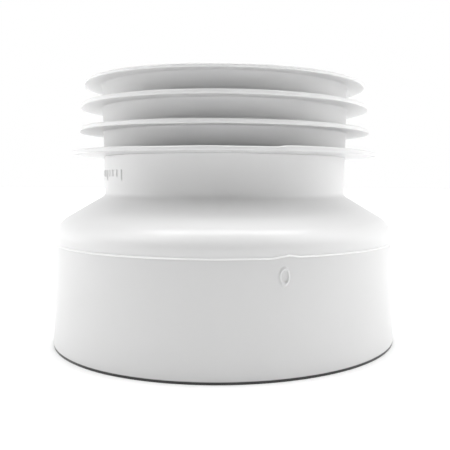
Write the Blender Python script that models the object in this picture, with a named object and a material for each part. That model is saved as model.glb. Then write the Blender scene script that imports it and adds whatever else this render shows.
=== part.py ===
"""Eccentric reducer: a short push-fit connector from a wide cup to a finned spigot.

Units are metres and +Z is up. The cup stands mouth down on the ground, and the spigot
points up with its axis set back (+Y) from the cup's axis by ECCENTRICITY. The origin is
on the ground, in the middle of the fitting's footprint.

Every piece is a ring. Its section is a closed outline of (radius, height) points, and the
solid is a circle at each point, joined to the next circle all the way round the outline.
"""

import math

import bmesh
import bpy

SEGMENTS = 64
GAP = 0.0003
EDGE = 0.0004
SHARP_FROM_DEGREES = 35

# Cup and shoulder
ECCENTRICITY = 0.010
MOUTH_RADIUS = 0.0675
FLARE_TOP_Z = 0.012
FLARE_TOP_RADIUS = 0.0668
SEAM_RADIUS = 0.0660
SEAM_Z = 0.0388
SEAM_CHAMFER = 0.0008
CUP_WALL = 0.0026
ROUND_START_Z = 0.0410
SHOULDER_ROUND = 0.0085
SHOULDER_SLOPE = 32.7
SHOULDER_WALL = 0.0028
ROUND_SHARES = (0, 0.25, 0.5, 0.75, 1)
FILLET_SHARES = (1, 0.67, 0.33, 0)
COLLAR_END_Z = 0.0290
COLLAR_WALL = 0.0022
COLLAR_BLEND_Z = 0.0378
BEAD_PROUD = 0.0003
BEAD_HALF_HEIGHT = 0.00048
BEAD_SIDE_INSET = 0.0001

# Neck and spigot
NECK_RADIUS = 0.0493
NECK_BASE_Z = 0.0580
NECK_FILLET = 0.0025
SPIGOT_Z = 0.1010
NECK_TAPER = 0.02
SLEEVE_SEAT_RADIUS = 0.0483

# Stop flange
FLANGE_RADIUS = 0.0619
FLANGE_UNDER_Z = 0.0717
FLANGE_TOP_Z = 0.0736
FLANGE_HUB_Z = 0.0741

# Wiping fins, from the lowest: rim radius, height of the underside at the rim, rim thickness
FINS = (
    (0.0593, 0.0811, 0.0016),
    (0.0585, 0.0906, 0.0016),
    (0.0571, 0.0995, 0.0013),
)
FIN_DROOP = 0.0003
FIN_ROOT_EXTRA = 0.0004

# Seal cartridge in the cup
RETAINER_UNDER_Z = 0.0008
RETAINER_THICKNESS = 0.0020
RETAINER_INNER_RADIUS = 0.0580
SEAL_TOP_Z = 0.0208
SEAL_WALL = 0.0022
LIP_TIP_RADII = (0.0474, 0.0462)
LIP_ROOT_Z = (0.0050, 0.0130)
LIP_RISE = 0.0064
LIP_THICKNESS = 0.0020
LIP_BEND_SHARE = 0.75
LIP_ROOT_FLARE = 1.6
LIP_TIP_TAPER = 0.6
SEAT_INNER_RADIUS = 0.0560
SEAT_WALL = 0.0020

# The footprint reaches from the cup's front to the stop flange's back
CUP_Y = (MOUTH_RADIUS - ECCENTRICITY - FLANGE_RADIUS) / 2
SPIGOT_Y = CUP_Y + ECCENTRICITY


def neck_radius(z):
    """Outside radius of the neck and of the sleeve on it, which opens slightly upwards."""
    return NECK_RADIUS + NECK_TAPER * max(0.0, z - NECK_BASE_Z)


def skirt_radius(z):
    """Outside radius of the skirt: a short flare at the mouth, then a slow taper."""
    if z < FLARE_TOP_Z:
        return MOUTH_RADIUS + (FLARE_TOP_RADIUS - MOUTH_RADIUS) * (z / FLARE_TOP_Z)
    share = (z - FLARE_TOP_Z) / (SEAM_Z - FLARE_TOP_Z)
    return FLARE_TOP_RADIUS + (SEAM_RADIUS - FLARE_TOP_RADIUS) * share


def cup_inside(z):
    """Inside radius of the skirt."""
    return skirt_radius(z) - CUP_WALL


def make_material(name, colour, roughness):
    material = bpy.data.materials.new(name)
    material.use_nodes = True
    shader = material.node_tree.nodes["Principled BSDF"]
    shader.inputs["Base Color"].default_value = (*colour, 1.0)
    shader.inputs["Roughness"].default_value = roughness
    shader.inputs["Metallic"].default_value = 0.0
    return material


def add_axis(name, y):
    """An empty on a vertical axis, which the pieces turned about that axis hang from."""
    axis = bpy.data.objects.new(name, None)
    axis.location = (0.0, y, 0.0)
    bpy.context.scene.collection.objects.link(axis)
    return axis


def add_ring_solid(name, axis, rings, material):
    """Closed solid through circles (radius, height, shift in Y), in order round the section."""
    shape = bmesh.new()
    circles = []
    for radius, z, shift in rings:
        circle = []
        for step in range(SEGMENTS):
            turn = 2 * math.pi * step / SEGMENTS
            point = (radius * math.cos(turn), shift + radius * math.sin(turn), z)
            circle.append(shape.verts.new(point))
        circles.append(circle)
    for here, there in zip(circles, circles[1:] + circles[:1]):
        for step in range(SEGMENTS):
            after = (step + 1) % SEGMENTS
            shape.faces.new((here[step], here[after], there[after], there[step]))
    bmesh.ops.recalc_face_normals(shape, faces=shape.faces)
    mesh = bpy.data.meshes.new(name)
    shape.to_mesh(mesh)
    shape.free()
    mesh.shade_smooth()
    mesh.set_sharp_from_angle(angle=math.radians(SHARP_FROM_DEGREES))
    mesh.materials.append(material)
    piece = bpy.data.objects.new(name, mesh)
    piece.parent = axis
    bpy.context.scene.collection.objects.link(piece)
    return piece


def centred(section):
    """A section of (radius, height) points as circles centred on their axis."""
    return [(radius, z, 0.0) for radius, z in section]


def shoulder_stations():
    """Up the shoulder: outside (radius, z), inside (radius, z) and share of the eccentricity."""
    normal = math.radians(90 - SHOULDER_SLOPE)
    round_r = SEAM_RADIUS - SHOULDER_ROUND
    fillet_r = NECK_RADIUS + NECK_FILLET
    reach = round_r * math.cos(normal) + ROUND_START_Z * math.sin(normal)
    reach += SHOULDER_ROUND + NECK_FILLET
    fillet_z = (reach - fillet_r * math.cos(normal)) / math.sin(normal)
    arcs = (
        (round_r, ROUND_START_Z, SHOULDER_ROUND, SHOULDER_ROUND - SHOULDER_WALL, ROUND_SHARES),
        (fillet_r, fillet_z, -NECK_FILLET, -NECK_FILLET - SHOULDER_WALL, FILLET_SHARES),
    )
    stations = []
    for centre_r, centre_z, outside, inside, shares in arcs:
        for turn in shares:
            across = math.cos(normal * turn)
            up = math.sin(normal * turn)
            radius = centre_r + outside * across
            moved = (SEAM_RADIUS - radius) / (SEAM_RADIUS - NECK_RADIUS)
            outer = (radius, centre_z + outside * up)
            inner = (centre_r + inside * across, centre_z + inside * up)
            stations.append((outer, inner, moved * ECCENTRICITY))
    return stations


def add_reducer_body(axis):
    """Collar inside the skirt, eccentric shoulder, neck and the bare spigot under the sleeve."""
    stations = shoulder_stations()
    collar_outer = cup_inside(SEAM_Z) - GAP
    collar_inner = collar_outer - COLLAR_WALL
    step_z = FLANGE_UNDER_Z - GAP
    bore = stations[-1][1][0]
    rings = [
        (collar_inner, COLLAR_END_Z, 0.0),
        (collar_outer, COLLAR_END_Z, 0.0),
        (collar_outer, SEAM_Z, 0.0),
        (SEAM_RADIUS - SEAM_CHAMFER, SEAM_Z, 0.0),
        (SEAM_RADIUS, SEAM_Z + SEAM_CHAMFER, 0.0),
    ]
    rings += [(*outer, shift) for outer, _, shift in stations]
    rings += [
        (neck_radius(step_z), step_z, ECCENTRICITY),
        (SLEEVE_SEAT_RADIUS, step_z, ECCENTRICITY),
        (SLEEVE_SEAT_RADIUS, SPIGOT_Z - EDGE, ECCENTRICITY),
        (SLEEVE_SEAT_RADIUS - EDGE, SPIGOT_Z, ECCENTRICITY),
        (bore + EDGE, SPIGOT_Z, ECCENTRICITY),
        (bore, SPIGOT_Z - EDGE, ECCENTRICITY),
    ]
    rings += [(*inner, shift) for _, inner, shift in reversed(stations)]
    rings.append((collar_inner, COLLAR_BLEND_Z, 0.0))
    material = make_material("body_plastic", (0.84, 0.84, 0.84), 0.38)
    add_ring_solid("reducer_body", axis, rings, material)


def add_cup_skirt(axis):
    """Outer wall of the cup, from the mouth up to the seam."""
    top = SEAM_Z - GAP
    mouth_inside = cup_inside(0.0)
    section = [
        (mouth_inside + EDGE, 0.0),
        (MOUTH_RADIUS - EDGE, 0.0),
        (skirt_radius(EDGE), EDGE),
        (skirt_radius(FLARE_TOP_Z), FLARE_TOP_Z),
        (skirt_radius(top - SEAM_CHAMFER), top - SEAM_CHAMFER),
        (skirt_radius(top) - SEAM_CHAMFER, top),
        (cup_inside(top), top),
        (cup_inside(FLARE_TOP_Z), FLARE_TOP_Z),
        (mouth_inside, EDGE),
    ]
    material = make_material("skirt_plastic", (0.84, 0.84, 0.84), 0.38)
    add_ring_solid("cup_skirt", axis, centred(section), material)


def add_weld_bead(axis):
    """Thin bead in the V-groove between skirt and body, just proud of the wall."""
    middle = SEAM_Z - GAP / 2
    outside = SEAM_RADIUS + BEAD_PROUD
    section = [
        (SEAM_RADIUS - SEAM_CHAMFER + GAP, middle),
        (SEAM_RADIUS - BEAD_SIDE_INSET, middle - BEAD_HALF_HEIGHT),
        (outside, middle - BEAD_HALF_HEIGHT / 2),
        (outside, middle + BEAD_HALF_HEIGHT / 2),
        (SEAM_RADIUS - BEAD_SIDE_INSET, middle + BEAD_HALF_HEIGHT),
    ]
    material = make_material("bead_plastic", (0.88, 0.88, 0.88), 0.35)
    add_ring_solid("weld_bead", axis, centred(section), material)


def fin_points(rim_radius, under_z, thickness, flush_top):
    """Outline of one fin, from its root's underside out round the rim and back on top."""
    rim_top = under_z + thickness
    root_under = under_z + FIN_DROOP
    root_top = rim_top if flush_top else rim_top + FIN_DROOP + FIN_ROOT_EXTRA
    points = [
        (neck_radius(root_under), root_under),
        (rim_radius - EDGE, under_z),
        (rim_radius, under_z + EDGE),
        (rim_radius, rim_top - EDGE),
        (rim_radius - EDGE, rim_top),
    ]
    if not flush_top:
        points.append((neck_radius(root_top), root_top))
    return points


def add_fin_sleeve(axis):
    """Soft sleeve on the spigot, with the three wiping fins; the top fin is flush with its end."""
    bottom = FLANGE_HUB_Z + GAP
    inside = SLEEVE_SEAT_RADIUS + GAP
    top = FINS[-1][1] + FINS[-1][2]
    section = [(inside, bottom), (neck_radius(bottom), bottom)]
    for rim_radius, under_z, thickness in FINS:
        section += fin_points(rim_radius, under_z, thickness, under_z == FINS[-1][1])
    section += [(inside + EDGE, top), (inside, top - EDGE)]
    material = make_material("sleeve_elastomer", (0.80, 0.80, 0.80), 0.45)
    add_ring_solid("fin_sleeve", axis, centred(section), material)


def add_stop_flange(axis):
    """Wide thin flange that stops against the soil pipe's end, on a short hub."""
    inside = SLEEVE_SEAT_RADIUS + GAP
    hub = neck_radius(FLANGE_HUB_Z)
    section = [
        (inside, FLANGE_UNDER_Z),
        (FLANGE_RADIUS - EDGE, FLANGE_UNDER_Z),
        (FLANGE_RADIUS, FLANGE_UNDER_Z + EDGE),
        (FLANGE_RADIUS, FLANGE_TOP_Z - EDGE),
        (FLANGE_RADIUS - EDGE, FLANGE_TOP_Z),
        (hub, FLANGE_TOP_Z),
        (hub, FLANGE_HUB_Z),
        (inside, FLANGE_HUB_Z),
    ]
    material = make_material("flange_elastomer", (0.82, 0.82, 0.82), 0.45)
    add_ring_solid("stop_flange", axis, centred(section), material)


def add_seal_seat_ring(axis):
    """Angle ring between the collar's end and the pan seal, which gives the seal a flat seat."""
    under = SEAL_TOP_Z + GAP
    top = COLLAR_END_Z - GAP
    outside = cup_inside(top) - GAP
    section = [
        (SEAT_INNER_RADIUS, under),
        (outside, under),
        (outside, top),
        (outside - SEAT_WALL, top),
        (outside - SEAT_WALL, under + SEAT_WALL),
        (SEAT_INNER_RADIUS, under + SEAT_WALL),
    ]
    material = make_material("seat_plastic", (0.75, 0.75, 0.75), 0.40)
    add_ring_solid("seal_seat_ring", axis, centred(section), material)


def lip_points(tip_radius, root_z, wall_radius):
    """Outline of one sealing lip, from its root's top in to the tip and back underneath."""
    bend_radius = (wall_radius + tip_radius) / 2
    bend_z = root_z + LIP_RISE * LIP_BEND_SHARE
    tip_z = root_z + LIP_RISE
    half = LIP_THICKNESS / 2
    return [
        (wall_radius, root_z + half * LIP_ROOT_FLARE),
        (bend_radius, bend_z + half),
        (tip_radius, tip_z + half * LIP_TIP_TAPER),
        (tip_radius, tip_z - half * LIP_TIP_TAPER),
        (bend_radius, bend_z - half),
        (wall_radius, root_z - half * LIP_ROOT_FLARE),
    ]


def add_pan_seal(axis):
    """Soft seal in the cup: a wall against the skirt and two lips that rise as they come in."""
    bottom = RETAINER_UNDER_Z + RETAINER_THICKNESS + GAP
    outside = cup_inside(SEAL_TOP_Z) - GAP
    wall = outside - SEAL_WALL
    section = [(wall, bottom), (outside, bottom), (outside, SEAL_TOP_Z), (wall, SEAL_TOP_Z)]
    for tip_radius, root_z in reversed(tuple(zip(LIP_TIP_RADII, LIP_ROOT_Z))):
        section += lip_points(tip_radius, root_z, wall)
    material = make_material("seal_rubber", (0.30, 0.31, 0.32), 0.60)
    add_ring_solid("pan_seal", axis, centred(section), material)


def add_seal_retaining_ring(axis):
    """Flat ring pushed into the cup's mouth under the seal, with a lead-in for the pan's outlet."""
    outside = cup_inside(SEAL_TOP_Z) - GAP
    top = RETAINER_UNDER_Z + RETAINER_THICKNESS
    section = [
        (RETAINER_INNER_RADIUS + RETAINER_THICKNESS / 2, RETAINER_UNDER_Z),
        (outside - EDGE, RETAINER_UNDER_Z),
        (outside, RETAINER_UNDER_Z + EDGE),
        (outside, top),
        (RETAINER_INNER_RADIUS, top),
        (RETAINER_INNER_RADIUS, top - RETAINER_THICKNESS / 2),
    ]
    material = make_material("retainer_plastic", (0.80, 0.80, 0.80), 0.40)
    add_ring_solid("seal_retaining_ring", axis, centred(section), material)


def main():
    for old in list(bpy.data.objects):
        bpy.data.objects.remove(old)
    cup_axis = add_axis("cup_axis", CUP_Y)
    spigot_axis = add_axis("spigot_axis", SPIGOT_Y)
    add_reducer_body(cup_axis)
    add_cup_skirt(cup_axis)
    add_weld_bead(cup_axis)
    add_seal_seat_ring(cup_axis)
    add_pan_seal(cup_axis)
    add_seal_retaining_ring(cup_axis)
    add_stop_flange(spigot_axis)
    add_fin_sleeve(spigot_axis)


main()
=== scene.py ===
"""Looks of the eccentric reducer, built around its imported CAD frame.

Lengths are metres in the CAD frame: +Z up, the ground at z = 0. An azimuth is an angle about
a vertical axis: 0 faces the front (-Y), and it grows towards +X. Every piece is a turned ring
with a closed, rounded section, and it replaces the plain CAD ring that it is named after.
"""

import math

import bmesh
import bpy
from mathutils import Matrix, Vector, noise


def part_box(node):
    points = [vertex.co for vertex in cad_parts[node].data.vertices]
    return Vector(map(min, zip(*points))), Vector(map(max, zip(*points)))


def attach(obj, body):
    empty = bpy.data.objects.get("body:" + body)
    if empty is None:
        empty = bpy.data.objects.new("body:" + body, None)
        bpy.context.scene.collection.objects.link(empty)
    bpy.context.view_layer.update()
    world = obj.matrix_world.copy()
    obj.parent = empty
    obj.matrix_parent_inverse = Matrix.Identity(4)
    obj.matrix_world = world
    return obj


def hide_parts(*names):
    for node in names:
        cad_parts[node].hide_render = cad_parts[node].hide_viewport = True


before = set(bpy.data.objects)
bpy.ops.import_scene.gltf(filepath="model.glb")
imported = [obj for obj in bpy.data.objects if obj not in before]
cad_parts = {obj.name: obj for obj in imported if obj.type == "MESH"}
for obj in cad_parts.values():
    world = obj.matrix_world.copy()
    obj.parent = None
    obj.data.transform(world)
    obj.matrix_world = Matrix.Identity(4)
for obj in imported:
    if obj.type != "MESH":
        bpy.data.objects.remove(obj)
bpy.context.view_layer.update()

MM = 0.001
COLUMNS = 288
CORNER_STEPS = 5
SHARP_ANGLE = math.radians(50)
FLOOR_HALF = 4.0

# ---- Materials: noise scales are features per metre ----
FLOW_SCALE = 38.0
FLOW_DETAIL = 5.0
FLOW_STRETCH = (1.0, 1.0, 0.35)
GLOSS_SCALE = 90.0
GLOSS_DETAIL = 3.0
GLOSS_SPREAD = 0.03
GRAIN_DETAIL = 4.0
GRAIN_STRENGTH = 0.2
PLASTIC_IOR = 1.49
SOFT_RADIUS = 1.5 * MM

# Painted shade: near-black colour of the band along the skirt's lower edge, standing in for the
# contact shadow at the floor; the blend is how far the band fades at its top
PAINTED_FOOT_SHADE = (0.035, 0.035, 0.035, 1.0)
PAINTED_FOOT_SHADE_BLEND = 0.1 * MM

# Camera: lens and sensor in millimetres, its turn, and its place in front of the cup's axis
SENSOR_WIDTH = 36.0
LENS = 49.80
LENS_SHIFT = -0.0781
CAMERA_PITCH = math.radians(4.116)
CAMERA_YAW = math.radians(3.162)
CAMERA_ROLL = math.radians(0.263)
CAMERA_DISTANCE = 253.64 * MM
CAMERA_HEIGHT = 62.49 * MM

WHITE_LIGHT = (1.0, 1.0, 1.0, 1.0)
BACKDROP_STRENGTH = 1.0

# Studio light: the direction each lobe comes from, how narrow it is, and its strength
LIGHT_LOBES = (
    ((0.0, 0.2, 1.0), 100, 9.3),
    ((-0.32, 0.17, 0.94), 100, 8.3),
    ((0.32, 0.17, 0.94), 100, 8.0),
    ((-0.66, -0.1, 0.75), 12, 3.3),
    ((0.66, -0.1, 0.75), 12, 2.9),
    ((-1.0, 0.15, 0.0), 8, 2.1),
    ((1.0, 0.15, 0.0), 8, 1.6),
    ((1.0, 0.0, 0.0), 2, 0.7),
    ((-0.8, 0.6, 0.05), 8, 0.8),
    ((0.8, 0.6, 0.05), 8, 0.3),
    ((0.0, 1.0, 0.0), 2, 0.95),
)

# ---- Places read from the CAD frame ----
SKIRT_LOW, SKIRT_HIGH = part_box("cup_skirt")
BODY_LOW, BODY_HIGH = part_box("reducer_body")
BEAD_LOW, BEAD_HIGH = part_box("weld_bead")
SLEEVE_LOW, SLEEVE_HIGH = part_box("fin_sleeve")
FLANGE_LOW, FLANGE_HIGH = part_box("stop_flange")
SEAT_LOW, SEAT_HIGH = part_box("seal_seat_ring")
SEAL_LOW, SEAL_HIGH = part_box("pan_seal")
RETAINER_LOW, RETAINER_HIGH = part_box("seal_retaining_ring")
CUP_Y = (SKIRT_LOW.y + SKIRT_HIGH.y) / 2
SPIGOT_Y = (SLEEVE_LOW.y + SLEEVE_HIGH.y) / 2
ECCENTRICITY = SPIGOT_Y - CUP_Y
MOUTH_R = SKIRT_HIGH.x
SEAM_R = BODY_HIGH.x
FLANGE_R = FLANGE_HIGH.x
TOP_Z = BODY_HIGH.z
JOINT_Z = (BEAD_LOW.z + BEAD_HIGH.z) / 2

# ---- Section of the mouldings ----
CUP_WALL = 2.6 * MM
WALL = 2.8 * MM
FOOT_HEIGHT = 1.0 * MM
FOOT_DEPTH = 0.12 * MM
RIM_BEVEL = 0.36 * MM
FLARE_TOP_Z = 12 * MM
FLARE_TOP_R = MOUTH_R - 0.7 * MM
ROUND_START_Z = 41 * MM
SHOULDER_ROUND = 8.5 * MM
SHOULDER_SLOPE = math.radians(32.7)
NECK_R = 49.3 * MM
NECK_BASE_Z = 58 * MM
NECK_FILLET = 2.5 * MM
NECK_TAPER = 0.02
SEAT_R = 48.3 * MM
BORE_R = NECK_R - WALL
COLLAR_R = SEAM_R - CUP_WALL - 0.1 * MM
COLLAR_IN_R = COLLAR_R - 2.2 * MM
SLEEVE_IN_R = SEAT_R + 0.05 * MM

# ---- Where the two halves of the mould meet at the front, and what sits beside that line ----
SPLIT_AZIMUTH = math.radians(16.6)
SEAM_LOW = -0.10 * MM
SEAM_STEP = 0.24 * MM
SEAM_KINK = 0.55 * MM
SEAM_KINK_HALF = 0.075
SEAM_UNEVEN = 0.03 * MM
BEAD_PROUD = 0.50 * MM
KNOB_HEIGHT = 0.25 * MM
KNOB_HALF = 0.6 * MM
GATE_AZIMUTH = math.radians(15.9)
GATE_Z = 32.8 * MM
GATE_HALF_WIDTH = 1.45 * MM
GATE_HALF_HEIGHT = 2.4 * MM
GATE_MARGIN = 3.5 * MM
GATE_RIDGE = 0.42 * MM
GATE_RIDGE_HALF = 0.46 * MM
WALL_UNEVEN = 0.06 * MM

# ---- Row of setting-out ticks on the neck ----
TICK_COUNT = 9
TICK_FIRST = math.radians(-51)
TICK_PITCH = math.radians(4.2)
TICK_LONG_EVERY = 4
TICK_TOP_Z = 66.3 * MM
TICK_LOW_Z = 63.4 * MM
TICK_LONG_LOW_Z = 62.0 * MM
TICK_HEIGHT = 0.35 * MM
TICK_FLAT_HALF = 0.25 * MM
TICK_HALF = 0.45 * MM
TICK_END = 0.3 * MM
TICK_BAND = (61.4 * MM, 66.8 * MM)

# ---- Rims, as radius, height of the underside, and thickness, from the lowest ----
FINS = (
    (59.3 * MM, 81.1 * MM, 1.6 * MM),
    (58.5 * MM, 90.6 * MM, 1.6 * MM),
    (57.1 * MM, 99.5 * MM, 1.3 * MM),
)
FIN_DROOP = 0.3 * MM
FIN_INSET = 0.12 * MM
FIN_PITCH = 9 * MM
FLANGE_THICKNESS = 1.9 * MM
FLANGE_STEP = 0.42 * MM
FLANGE_STEP_AZIMUTH = math.radians(17.6)

# ---- Hidden seal ----
SEAT_WALL = 2.0 * MM
SEAT_INNER_R = 56 * MM
SEAL_WALL = 2.3 * MM
SEAL_RIBS = 4
RIB_PITCH = 4 * MM
RIB_DEPTH = 0.5 * MM
LIPS = ((46.2 * MM, 13 * MM), (47.4 * MM, 5 * MM))
RETAINER_INNER_R = 58 * MM


# ---------------------------------------------------------------- sections
def corner_curve(before, here, after, fillet):
    """Points that round the corner at here, between straight runs to before and after."""
    back = before - here
    ahead = after - here
    half = back.angle(ahead) / 2
    reach = min(fillet / math.tan(half), 0.48 * back.length, 0.48 * ahead.length)
    start = here + back.normalized() * reach
    end = here + ahead.normalized() * reach
    points = []
    for k in range(CORNER_STEPS + 1):
        t = k / CORNER_STEPS
        points.append(start * (1 - t) ** 2 + here * 2 * t * (1 - t) + end * t ** 2)
    return points


def run(corners, shift=0.0, step=1.5 * MM):
    """Open outline of (radius, z, shift) from (radius, z, fillet) corners, ends kept sharp."""
    bends = []
    for i, (r, z, fillet) in enumerate(corners):
        here = Vector((r, z))
        if fillet <= 0 or i == 0 or i == len(corners) - 1:
            bends.append([here])
        else:
            before = Vector(corners[i - 1][:2])
            after = Vector(corners[i + 1][:2])
            bends.append(corner_curve(before, here, after, fillet))
    points = list(bends[0])
    for bend in bends[1:]:
        gap = bend[0] - points[-1]
        last = points[-1].copy()
        pieces = max(1, math.ceil(gap.length / step))
        points += [last + gap * k / pieces for k in range(1, pieces)]
        points += bend
    return [(p.x, p.y, shift) for p in points]


def columns(fine=()):
    """Azimuths round the ring, closer together over each (azimuth, half width, step)."""
    even = [2 * math.pi * i / COLUMNS - math.pi for i in range(COLUMNS)]
    for middle, half, step in fine:
        even = [a for a in even if abs(a - middle) > half * 1.01]
        steps = round(2 * half / step)
        even += [middle - half + 2 * half * i / steps for i in range(steps + 1)]
    return sorted(even)


def ring_mesh(name, section, axis_y, azimuths, bend=None):
    """Mesh of a closed section of (radius, z, shift) points turned about a vertical axis.

    bend(azimuth, radius, z) gives a moved (radius, z), for what isn't the same all round."""
    shape = bmesh.new()
    rows = []
    for azimuth in azimuths:
        row = []
        for radius, z, shift in section:
            r, height = bend(azimuth, radius, z) if bend else (radius, z)
            place = (r * math.sin(azimuth), axis_y + shift - r * math.cos(azimuth), height)
            row.append(shape.verts.new(place))
        rows.append(row)
    for row, after in zip(rows, rows[1:] + rows[:1]):
        for i in range(len(row)):
            j = (i + 1) % len(row)
            shape.faces.new((row[i], after[i], after[j], row[j]))
    bmesh.ops.recalc_face_normals(shape, faces=shape.faces)
    mesh = bpy.data.meshes.new(name)
    shape.to_mesh(mesh)
    shape.free()
    mesh.shade_smooth()
    mesh.set_sharp_from_angle(angle=SHARP_ANGLE)
    return mesh


def add_piece(name, mesh, material, body, node):
    """Links a mesh as a visible piece that rides on a body and stands for a CAD node."""
    piece = bpy.data.objects.new(name, mesh)
    bpy.context.scene.collection.objects.link(piece)
    mesh.materials.append(material)
    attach(piece, body)
    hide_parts(node)
    return piece


def ripple(azimuth, seed, waves=3.0):
    """Smooth unevenness round a ring, from about -1 to 1."""
    return noise.noise(Vector((math.cos(azimuth) * waves, math.sin(azimuth) * waves, seed))) * 1.6


def smooth_step(low, high, value):
    t = min(1.0, max(0.0, (value - low) / (high - low)))
    return t * t * (3 - 2 * t)


def bump_at(distance, width):
    """Rounded hump of height 1 at distance 0 that ends at distance width."""
    return max(0.0, 1 - (distance / width) ** 2) ** 2


# ---------------------------------------------------------------- materials
def add_painted_foot_shade(tree, place, clean, target, height):
    """Paints shade below a height: a near-black band along the lower edge that stands in for the
    contact shadow where it meets the floor.
    """
    axes = tree.nodes.new("ShaderNodeSeparateXYZ")
    tree.links.new(place.outputs["Object"], axes.inputs["Vector"])
    rise = tree.nodes.new("ShaderNodeMapRange")
    rise.inputs["From Min"].default_value = height - PAINTED_FOOT_SHADE_BLEND
    rise.inputs["From Max"].default_value = height + PAINTED_FOOT_SHADE_BLEND
    tree.links.new(axes.outputs["Z"], rise.inputs["Value"])
    shade_mix = tree.nodes.new("ShaderNodeMix")
    shade_mix.data_type = "RGBA"
    shade_mix.inputs["A"].default_value = PAINTED_FOOT_SHADE
    tree.links.new(rise.outputs["Result"], shade_mix.inputs["Factor"])
    tree.links.new(clean, shade_mix.inputs["B"])
    tree.links.new(shade_mix.outputs["Result"], target)


def plastic(name, shade, mottle, roughness, grain, bump_height,
            translucent=0.0, painted_shade_below=None):
    """Moulded plastic or rubber: faint flow mottling, uneven gloss and a fine eroded grain."""
    material = bpy.data.materials.new(name)
    material.use_nodes = True
    tree = material.node_tree
    shader = tree.nodes["Principled BSDF"]
    place = tree.nodes.new("ShaderNodeTexCoord")
    flow = tree.nodes.new("ShaderNodeTexNoise")
    flow.inputs["Scale"].default_value = FLOW_SCALE
    flow.inputs["Detail"].default_value = FLOW_DETAIL
    flow.inputs["Roughness"].default_value = 0.6
    stretch = tree.nodes.new("ShaderNodeMapping")
    stretch.inputs["Scale"].default_value = FLOW_STRETCH
    tree.links.new(place.outputs["Object"], stretch.inputs["Vector"])
    tree.links.new(stretch.outputs["Vector"], flow.inputs["Vector"])
    tint = tree.nodes.new("ShaderNodeValToRGB")
    tint.color_ramp.elements[0].position = 0.3
    tint.color_ramp.elements[1].position = 0.7
    tint.color_ramp.elements[0].color = (*[c - mottle for c in shade], 1.0)
    tint.color_ramp.elements[1].color = (*[c + mottle for c in shade], 1.0)
    tree.links.new(flow.outputs["Fac"], tint.inputs["Fac"])
    # painted_shade_below paints a dark band of contact shadow along the lower edge
    if painted_shade_below is None:
        tree.links.new(tint.outputs["Color"], shader.inputs["Base Color"])
    else:
        add_painted_foot_shade(tree, place, tint.outputs["Color"], shader.inputs["Base Color"], painted_shade_below)
    gloss = tree.nodes.new("ShaderNodeMapRange")
    gloss.inputs["To Min"].default_value = roughness - GLOSS_SPREAD
    gloss.inputs["To Max"].default_value = roughness + GLOSS_SPREAD
    patches = tree.nodes.new("ShaderNodeTexNoise")
    patches.inputs["Scale"].default_value = GLOSS_SCALE
    patches.inputs["Detail"].default_value = GLOSS_DETAIL
    tree.links.new(place.outputs["Object"], patches.inputs["Vector"])
    tree.links.new(patches.outputs["Fac"], gloss.inputs["Value"])
    tree.links.new(gloss.outputs["Result"], shader.inputs["Roughness"])
    fine = tree.nodes.new("ShaderNodeTexNoise")
    fine.inputs["Scale"].default_value = grain
    fine.inputs["Detail"].default_value = GRAIN_DETAIL
    tree.links.new(place.outputs["Object"], fine.inputs["Vector"])
    relief = tree.nodes.new("ShaderNodeBump")
    relief.inputs["Strength"].default_value = GRAIN_STRENGTH
    relief.inputs["Distance"].default_value = bump_height
    tree.links.new(fine.outputs["Fac"], relief.inputs["Height"])
    tree.links.new(relief.outputs["Normal"], shader.inputs["Normal"])
    shader.inputs["IOR"].default_value = PLASTIC_IOR
    if translucent:
        shader.inputs["Subsurface Weight"].default_value = translucent
        shader.inputs["Subsurface Radius"].default_value = (1.0, 1.0, 1.0)
        shader.inputs["Subsurface Scale"].default_value = SOFT_RADIUS
    return material


# ---------------------------------------------------------------- shape of the mouldings
def neck_radius(z):
    """Outside radius of the neck, which widens slightly towards the top."""
    return NECK_R + NECK_TAPER * max(0.0, z - NECK_BASE_Z)


def skirt_radius(z):
    """Outside radius of the skirt: nearly straight, with a short flare at the mouth."""
    if z < FLARE_TOP_Z:
        return MOUTH_R + (FLARE_TOP_R - MOUTH_R) * z / FLARE_TOP_Z
    return FLARE_TOP_R + (SEAM_R - FLARE_TOP_R) * (z - FLARE_TOP_Z) / (JOINT_Z - FLARE_TOP_Z)


def seam_rise(azimuth):
    """How far the seam lies above JOINT_Z: one mould half closed a little higher."""
    right = smooth_step(-0.012, 0.012, azimuth - SPLIT_AZIMUTH)
    level = SEAM_LOW + SEAM_STEP * right
    kink = SEAM_KINK * bump_at(azimuth - SPLIT_AZIMUTH, SEAM_KINK_HALF)
    return level + kink + SEAM_UNEVEN * ripple(azimuth, 4.0, 3.0)


def shoulder_stations():
    """Up the shoulder: outside (radius, z), inside (radius, z) and shift towards the spigot."""
    normal = math.pi / 2 - SHOULDER_SLOPE
    round_r = SEAM_R - SHOULDER_ROUND
    fillet_r = NECK_R + NECK_FILLET
    reach = round_r * math.cos(normal) + ROUND_START_Z * math.sin(normal)
    reach += SHOULDER_ROUND + NECK_FILLET
    fillet_z = (reach - fillet_r * math.cos(normal)) / math.sin(normal)
    turns = [(round_r, ROUND_START_Z, SHOULDER_ROUND, normal * k / 12) for k in range(13)]
    turns += [(fillet_r, fillet_z, -NECK_FILLET, normal * (1 - k / 8)) for k in range(9)]
    stations = []
    for centre_r, centre_z, outside, turn in turns:
        across = math.cos(turn)
        up = math.sin(turn)
        outer = Vector((centre_r + outside * across, centre_z + outside * up))
        inner = outer - Vector((WALL * across, WALL * up))
        shift = (SEAM_R - outer.x) / (SEAM_R - NECK_R) * ECCENTRICITY
        stations.append((outer, inner, shift))
    low = stations[12]
    high = stations[13]
    cone = []
    for k in range(1, 12):
        t = k / 12
        shift = low[2] + (high[2] - low[2]) * t
        cone.append((low[0].lerp(high[0], t), low[1].lerp(high[1], t), shift))
    return stations[:13] + cone + stations[13:]


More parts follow.
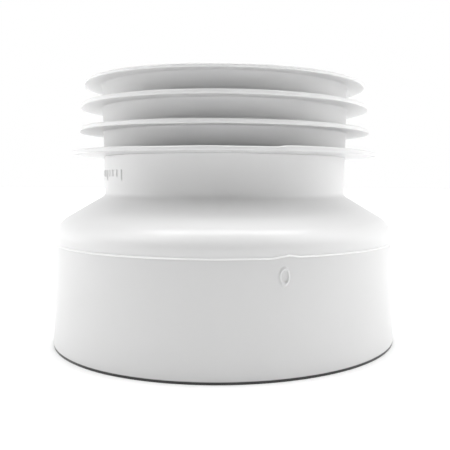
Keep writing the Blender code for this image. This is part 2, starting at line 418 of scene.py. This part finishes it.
def tick_relief(azimuth, z):
    """Row of short upright setting-out ticks in relief on the left of the neck."""
    number = round((TICK_FIRST - azimuth) / TICK_PITCH)
    if number < 0 or number >= TICK_COUNT:
        return 0.0
    across = abs(TICK_FIRST - azimuth - number * TICK_PITCH) * NECK_R
    if across >= TICK_HALF:
        return 0.0
    low = TICK_LOW_Z if number % TICK_LONG_EVERY else TICK_LONG_LOW_Z
    edge = smooth_step(TICK_HALF, TICK_FLAT_HALF, across)
    ends = smooth_step(0.0, TICK_END, z - low) * smooth_step(0.0, TICK_END, TICK_TOP_Z - z)
    return TICK_HEIGHT * edge * ends


def add_reducer_body(material):
    """Collar inside the skirt, rounded shoulder, neck and spigot, as one wall."""
    stations = shoulder_stations()
    step_z = FLANGE_LOW.z - 0.02 * MM
    land_z = JOINT_Z + 0.33 * MM
    collar = run([
        (COLLAR_IN_R, BODY_LOW.z + 8.8 * MM, 0),
        (COLLAR_IN_R, BODY_LOW.z, 0.4 * MM),
        (COLLAR_R, BODY_LOW.z, 0.7 * MM),
        (COLLAR_R, JOINT_Z, 0),
        (SEAM_R - 0.9 * MM, JOINT_Z, 0),
        (SEAM_R - 0.8 * MM, land_z, 0.1 * MM),
        (SEAM_R, land_z, 0.05 * MM),
        (SEAM_R, ROUND_START_Z, 0),
    ])
    outer = [(p.x, p.y, shift) for p, _, shift in stations]
    inner = [(p.x, p.y, shift) for _, p, shift in stations]
    base = outer[-1]
    band_low, band_high = TICK_BAND
    neck = run([
        (base[0], base[1], 0),
        (neck_radius(band_low), band_low, 0),
    ], ECCENTRICITY)
    marked = run([
        (neck_radius(band_low), band_low, 0),
        (neck_radius(band_high), band_high, 0),
    ], ECCENTRICITY, 0.25 * MM)
    spigot = run([
        (neck_radius(band_high), band_high, 0),
        (neck_radius(step_z), step_z, 0),
        (SEAT_R, step_z, 0),
        (SEAT_R, TOP_Z, 0.5 * MM),
        (BORE_R, TOP_Z, 0.6 * MM),
        (BORE_R, inner[-1][1], 0),
    ], ECCENTRICITY)
    section = collar + outer[1:] + neck[1:] + marked[1:] + spigot[1:] + inner[-2::-1]

    def bend(azimuth, r, z):
        rise = 0.0
        if r > COLLAR_R + 0.05 * MM and z < ROUND_START_Z:
            rise = seam_rise(azimuth) * (1 - smooth_step(land_z, ROUND_START_Z, z))
        outside = r > NECK_R - 0.1 * MM and z > NECK_BASE_Z
        if outside and z < step_z:
            r += tick_relief(azimuth, z)
        return r, z + rise

    azimuths = columns([
        (SPLIT_AZIMUTH, math.radians(6), math.radians(0.25)),
        (math.radians(-68), math.radians(19), math.radians(0.16)),
    ])
    mesh = ring_mesh("body", section, CUP_Y, azimuths, bend)
    add_piece("shoulder_and_neck", mesh, material, "connector", "reducer_body")


def add_cup_skirt(material):
    """Flared outer wall, with the oval gate mark and a recessed foot where it stands."""
    top = JOINT_Z - 0.30 * MM
    inside = MOUTH_R - CUP_WALL
    low = run([
        (skirt_radius(top) - CUP_WALL, top - 2 * MM, 0),
        (FLARE_TOP_R - CUP_WALL, FLARE_TOP_Z, 0),
        (inside, 0, 0.3 * MM),
        (MOUTH_R - FOOT_DEPTH, 0, 0),
        (MOUTH_R - FOOT_DEPTH, FOOT_HEIGHT, 0.1 * MM),
        (MOUTH_R - 0.02 * MM, FOOT_HEIGHT, 0.25 * MM),
        (skirt_radius(FLARE_TOP_Z), FLARE_TOP_Z, 0),
        (skirt_radius(GATE_Z - GATE_MARGIN), GATE_Z - GATE_MARGIN, 0),
    ])
    gate = run([
        (skirt_radius(GATE_Z - GATE_MARGIN), GATE_Z - GATE_MARGIN, 0),
        (skirt_radius(GATE_Z + GATE_MARGIN), GATE_Z + GATE_MARGIN, 0),
    ], 0.0, 0.12 * MM)
    high = run([
        (skirt_radius(GATE_Z + GATE_MARGIN), GATE_Z + GATE_MARGIN, 0),
        (skirt_radius(top), top, 0.06 * MM),
        (skirt_radius(top) - CUP_WALL, top, 0.3 * MM),
        (skirt_radius(top) - CUP_WALL, top - 2 * MM, 0),
    ])
    section = low + gate[1:] + high[1:-1]

    def bend(azimuth, r, z):
        if z > JOINT_Z - 2 * MM:
            z += seam_rise(azimuth) * smooth_step(JOINT_Z - 2 * MM, top, z)
        if r > skirt_radius(z) - 0.5 * MM:
            across = (azimuth - GATE_AZIMUTH) * r / GATE_HALF_WIDTH
            up = (z - GATE_Z) / GATE_HALF_HEIGHT
            off = abs(math.hypot(across, up) - 1) * GATE_HALF_WIDTH
            r += GATE_RIDGE * bump_at(off, GATE_RIDGE_HALF)
            sink = WALL_UNEVEN * (0.5 + 0.5 * ripple(azimuth, z * 60, 2.5))
            r -= min(2 * WALL_UNEVEN, max(0.0, sink))
        return r, z

    azimuths = columns([(GATE_AZIMUTH, math.radians(4), math.radians(0.11))])
    mesh = ring_mesh("skirt", section, CUP_Y, azimuths, bend)
    add_piece("skirt", mesh, material, "connector", "cup_skirt")


def add_weld_bead(material):
    """Thin bead in the joint: a narrow lower face and a wider upper one that catches the light."""
    out = SEAM_R + BEAD_PROUD
    section = run([
        (SEAM_R - 0.85 * MM, JOINT_Z, 0),
        (SEAM_R - 0.60 * MM, JOINT_Z - 0.31 * MM, 0),
        (SEAM_R + 0.20 * MM, JOINT_Z - 0.29 * MM, 0.03 * MM),
        (out, JOINT_Z - 0.14 * MM, 0.05 * MM),
        (SEAM_R + 0.02 * MM, JOINT_Z + 0.30 * MM, 0.03 * MM),
        (SEAM_R - 0.60 * MM, JOINT_Z + 0.28 * MM, 0),
        (SEAM_R - 0.85 * MM, JOINT_Z, 0),
    ], 0.0, 0.5 * MM)[:-1]

    def bend(azimuth, r, z):
        uneven = 0.03 * MM * ripple(azimuth, 9.0, 8.0) - 0.03 * MM
        knob = KNOB_HEIGHT * bump_at((azimuth - SPLIT_AZIMUTH) * SEAM_R, KNOB_HALF)
        share = smooth_step(SEAM_R - 0.5 * MM, out, r)
        return r + (uneven + knob) * share, z + seam_rise(azimuth)

    azimuths = columns([(SPLIT_AZIMUTH, math.radians(6), math.radians(0.25))])
    mesh = ring_mesh("bead", section, CUP_Y, azimuths, bend)
    add_piece("seam_bead", mesh, material, "connector", "weld_bead")


def add_fin_sleeve(material):
    """Sleeve with three soft fins: the rims wave a little, and their upper edge is bevelled."""
    bottom = SLEEVE_LOW.z - 0.25 * MM
    corners = [(SLEEVE_IN_R, SLEEVE_LOW.z + 6 * MM, 0), (SLEEVE_IN_R, bottom, 0)]
    corners.append((neck_radius(bottom), bottom, 0))
    for radius, under, thickness in FINS:
        top = under + thickness
        rim = radius - FIN_INSET
        corners.append((neck_radius(under), under + FIN_DROOP, 0.9 * MM))
        corners.append((rim, under, 0.42 * MM))
        corners.append((rim, top - RIM_BEVEL, 0.08 * MM))
        corners.append((rim - 1.2 * RIM_BEVEL, top, 0.12 * MM))
        if under < FINS[-1][1]:
            corners.append((neck_radius(top), top + FIN_DROOP + 0.4 * MM, 0.9 * MM))
    corners.append((SLEEVE_IN_R, TOP_Z - 0.2 * MM, 0.3 * MM))
    corners.append((SLEEVE_IN_R, SLEEVE_LOW.z + 6 * MM, 0))
    section = run(corners, 0.0, 1.2 * MM)[:-1]

    def bend(azimuth, r, z):
        reach = smooth_step(neck_radius(z) + 1 * MM, 58 * MM, r)
        fin = round((z - 82 * MM) / FIN_PITCH)
        wave = ripple(azimuth, fin * 3.7, 1.6)
        pull = 0.06 * MM * (1 + ripple(azimuth, fin * 5.3 + 1.9, 2.2))
        return r - pull * reach, z + 0.09 * MM * wave * reach

    mesh = ring_mesh("sleeve", section, SPIGOT_Y, columns(), bend)
    add_piece("fins", mesh, material, "spigot_seal", "fin_sleeve")


def add_stop_flange(material):
    """Larger soft flange below the fins: its rim waves and steps up a little on the right."""
    rim = FLANGE_R - 0.1 * MM
    low = FLANGE_LOW.z
    top = low + FLANGE_THICKNESS
    hub_z = SLEEVE_LOW.z - 0.27 * MM
    hub = neck_radius(hub_z)
    section = run([
        (SLEEVE_IN_R, low + 1 * MM, 0),
        (SLEEVE_IN_R, low, 0),
        (rim, low + 0.35 * MM, 0.35 * MM),
        (rim, top - RIM_BEVEL, 0.08 * MM),
        (rim - 1.2 * RIM_BEVEL, top, 0.12 * MM),
        (hub, top, 0.35 * MM),
        (hub, hub_z, 0),
        (SLEEVE_IN_R, hub_z, 0),
        (SLEEVE_IN_R, low + 1 * MM, 0),
    ], 0.0, 1.0 * MM)[:-1]

    def bend(azimuth, r, z):
        reach = smooth_step(hub + 0.5 * MM, rim - 1 * MM, r)
        upper = smooth_step(low + 0.2 * MM, top, z)
        wave = 0.12 * MM * ripple(azimuth, 21.0, 2.4)
        past = azimuth - FLANGE_STEP_AZIMUTH
        step = smooth_step(-0.03, 0.03, past) * (1 - smooth_step(0.15, 0.95, past))
        return r, z + (wave + FLANGE_STEP * step * upper) * reach

    azimuths = columns([(FLANGE_STEP_AZIMUTH, math.radians(6), math.radians(0.4))])
    mesh = ring_mesh("flange", section, SPIGOT_Y, azimuths, bend)
    add_piece("stop_flange_ring", mesh, material, "spigot_seal", "stop_flange")


def add_seal_seat(material):
    """Angle ring in the cup: a flat seat for the seal's top and an outer wall."""
    out = SEAT_HIGH.x + 0.2 * MM
    section = run([
        (SEAT_INNER_R, SEAT_LOW.z + 1 * MM, 0),
        (SEAT_INNER_R, SEAT_LOW.z, 0.3 * MM),
        (out, SEAT_LOW.z, 0.3 * MM),
        (out, SEAT_HIGH.z, 0.3 * MM),
        (out - SEAT_WALL, SEAT_HIGH.z, 0.3 * MM),
        (out - SEAT_WALL, SEAT_LOW.z + SEAT_WALL, 0.8 * MM),
        (SEAT_INNER_R, SEAT_LOW.z + SEAT_WALL, 0.5 * MM),
        (SEAT_INNER_R, SEAT_LOW.z + 1 * MM, 0),
    ])[:-1]
    mesh = ring_mesh("seat", section, CUP_Y, columns())
    add_piece("seal_seat", mesh, material, "connector", "seal_seat_ring")


def lip_corners(tip, root, wall):
    """Outline of a lip, down its far side, from its root on the wall to its tip and back."""
    middle = (wall + tip) / 2
    bend_z = root + 4.8 * MM
    tip_z = root + 6.4 * MM
    return [
        (wall, root + 1.6 * MM, 1.0 * MM),
        (middle, bend_z + 1.0 * MM, 2.0 * MM),
        (tip, tip_z + 0.6 * MM, 0.5 * MM),
        (tip, tip_z - 0.6 * MM, 0.5 * MM),
        (middle, bend_z - 1.0 * MM, 2.0 * MM),
        (wall, root - 1.6 * MM, 1.0 * MM),
    ]


def add_pan_seal(material):
    """Rubber seal: a ribbed outer wall and two lips that rise as they come in."""
    bottom = SEAL_LOW.z - 0.1 * MM
    out = SEAL_HIGH.x + 0.1 * MM
    wall = out - SEAL_WALL
    corners = [(wall, bottom + 0.5 * MM, 0), (wall, bottom, 0.3 * MM), (out, bottom, 0.4 * MM)]
    for rib in range(SEAL_RIBS):
        z = bottom + 3 * MM + RIB_PITCH * rib
        corners.append((out, z, 0.3 * MM))
        corners.append((out - RIB_DEPTH, z + 0.6 * MM, 0.2 * MM))
        corners.append((out - RIB_DEPTH, z + 1.4 * MM, 0.2 * MM))
        corners.append((out, z + 2.0 * MM, 0.3 * MM))
    corners.append((out, SEAL_HIGH.z, 0.4 * MM))
    corners.append((wall, SEAL_HIGH.z, 0.4 * MM))
    for tip, root in LIPS:
        corners += lip_corners(tip, root, wall)
    corners.append((wall, bottom + 0.5 * MM, 0))
    section = run(corners, 0.0, 1.0 * MM)[:-1]

    def bend(azimuth, r, z):
        reach = 1 - smooth_step(47 * MM, 56 * MM, r)
        return r, z + 0.15 * MM * ripple(azimuth, z * 40, 2.5) * reach

    mesh = ring_mesh("seal", section, CUP_Y, columns(), bend)
    add_piece("lip_seal", mesh, material, "pan_seal_cartridge", "pan_seal")


def add_retainer(material):
    """Flat ring with a chamfered bore that keeps the seal in the mouth."""
    inner = RETAINER_INNER_R
    section = run([
        (inner, RETAINER_HIGH.z - 0.3 * MM, 0),
        (inner, RETAINER_HIGH.z - 1.0 * MM, 0.3 * MM),
        (inner + 1 * MM, RETAINER_LOW.z, 0.3 * MM),
        (RETAINER_HIGH.x, RETAINER_LOW.z, 0.35 * MM),
        (RETAINER_HIGH.x, RETAINER_HIGH.z, 0.15 * MM),
        (inner, RETAINER_HIGH.z, 0.2 * MM),
        (inner, RETAINER_HIGH.z - 0.3 * MM, 0),
    ])[:-1]
    mesh = ring_mesh("retainer", section, CUP_Y, columns())
    add_piece("seal_retainer", mesh, material, "pan_seal_cartridge",
              "seal_retaining_ring")


# ---------------------------------------------------------------- studio
def add_floor():
    """Wide pale floor at ground level."""
    mesh = bpy.data.meshes.new("floor")
    shape = bmesh.new()
    corners = []
    for x, y in ((-1, -1), (1, -1), (1, 1), (-1, 1)):
        corners.append(shape.verts.new((x * FLOOR_HALF, y * FLOOR_HALF, 0.0)))
    shape.faces.new(corners)
    shape.to_mesh(mesh)
    shape.free()
    floor = bpy.data.objects.new("floor", mesh)
    bpy.context.scene.collection.objects.link(floor)
    material = bpy.data.materials.new("floor_paper")
    material.use_nodes = True
    shader = material.node_tree.nodes["Principled BSDF"]
    shader.inputs["Base Color"].default_value = (0.98, 0.98, 0.98, 1.0)
    shader.inputs["Roughness"].default_value = 0.95
    shader.inputs["Specular IOR Level"].default_value = 0.1
    mesh.materials.append(material)


def add_world(lobes, backdrop):
    """Soft light from all round: each lobe is (direction, exponent, strength), brightest along
    its direction and fading with the angle from it. The backdrop itself shows plain and pale."""
    world = bpy.data.worlds.new("studio")
    world.use_nodes = True
    tree = world.node_tree
    light = tree.nodes["Background"]
    sky = tree.nodes.new("ShaderNodeTexCoord")
    total = None
    for direction, exponent, strength in lobes:
        along = tree.nodes.new("ShaderNodeVectorMath")
        along.operation = "DOT_PRODUCT"
        along.inputs[1].default_value = Vector(direction).normalized()
        tree.links.new(sky.outputs["Generated"], along.inputs[0])
        level = along.outputs["Value"]
        for operation, value in (("MAXIMUM", 0.0), ("POWER", exponent), ("MULTIPLY", strength)):
            step = tree.nodes.new("ShaderNodeMath")
            step.operation = operation
            step.inputs[1].default_value = value
            tree.links.new(level, step.inputs[0])
            level = step.outputs["Value"]
        if total is not None:
            both = tree.nodes.new("ShaderNodeMath")
            tree.links.new(total, both.inputs[0])
            tree.links.new(level, both.inputs[1])
            level = both.outputs["Value"]
        total = level
    tree.links.new(total, light.inputs["Strength"])
    light.inputs["Color"].default_value = WHITE_LIGHT
    shown = tree.nodes.new("ShaderNodeBackground")
    shown.inputs["Color"].default_value = WHITE_LIGHT
    shown.inputs["Strength"].default_value = backdrop
    rays = tree.nodes.new("ShaderNodeLightPath")
    pick = tree.nodes.new("ShaderNodeMixShader")
    tree.links.new(rays.outputs["Is Camera Ray"], pick.inputs["Fac"])
    tree.links.new(light.outputs["Background"], pick.inputs[1])
    tree.links.new(shown.outputs["Background"], pick.inputs[2])
    tree.links.new(pick.outputs["Shader"], tree.nodes["World Output"].inputs["Surface"])
    bpy.context.scene.world = world


def add_camera():
    """Nearly level view from the front, from a little above the middle of the fitting."""
    camera = bpy.data.cameras.new("camera")
    camera.sensor_width = SENSOR_WIDTH
    camera.lens = LENS
    camera.shift_x = LENS_SHIFT
    holder = bpy.data.objects.new("camera", camera)
    level = Vector((math.sin(CAMERA_YAW), math.cos(CAMERA_YAW), 0.0))
    plumb = Vector((0.0, 0.0, 1.0))
    forward = level * math.cos(CAMERA_PITCH) - plumb * math.sin(CAMERA_PITCH)
    upright = level * math.sin(CAMERA_PITCH) + plumb * math.cos(CAMERA_PITCH)
    across = forward.cross(upright)
    right = across * math.cos(CAMERA_ROLL) + upright * math.sin(CAMERA_ROLL)
    up = upright * math.cos(CAMERA_ROLL) - across * math.sin(CAMERA_ROLL)
    turn = Matrix((right, up, -forward)).transposed()
    place = Matrix.Translation((0.0, CUP_Y - CAMERA_DISTANCE, CAMERA_HEIGHT))
    holder.matrix_world = place @ turn.to_4x4()
    bpy.context.scene.collection.objects.link(holder)
    bpy.context.scene.camera = holder


white = plastic("white_plastic", (0.70, 0.70, 0.70), 0.005, 0.30, 500.0, 0.00004)
# The skirt's colour is painted near-black below the top of the foot: painted shade for the contact
# shadow along its lower edge
skirt_white = plastic("skirt_white", (0.66, 0.66, 0.66), 0.005, 0.31, 500.0, 0.00004,
                      painted_shade_below=FOOT_HEIGHT - 0.12 * MM)
# Painted highlight: the bead's colour is lighter than the moulding it joins, so the seam shows as
# a bright line of light
bead_white_painted_highlight = plastic("bead_white_painted_highlight", (0.86, 0.86, 0.86), 0.005, 0.30, 800.0, 0.00003)
soft_white = plastic("soft_white", (0.68, 0.68, 0.68), 0.006, 0.34, 600.0, 0.00004, 0.45)
inner_white = plastic("inner_white", (0.68, 0.68, 0.68), 0.006, 0.42, 500.0, 0.00004)
rubber = plastic("grey_rubber", (0.11, 0.115, 0.12), 0.02, 0.58, 1400.0, 0.00008)
add_reducer_body(white)
add_cup_skirt(skirt_white)
add_weld_bead(bead_white_painted_highlight)
add_fin_sleeve(soft_white)
add_stop_flange(soft_white)
add_seal_seat(inner_white)
add_pan_seal(rubber)
add_retainer(inner_white)

add_floor()
add_camera()
add_world(LIGHT_LOBES, BACKDROP_STRENGTH)
bpy.context.scene.view_settings.view_transform = "Standard"

bpy.context.view_layer.update()
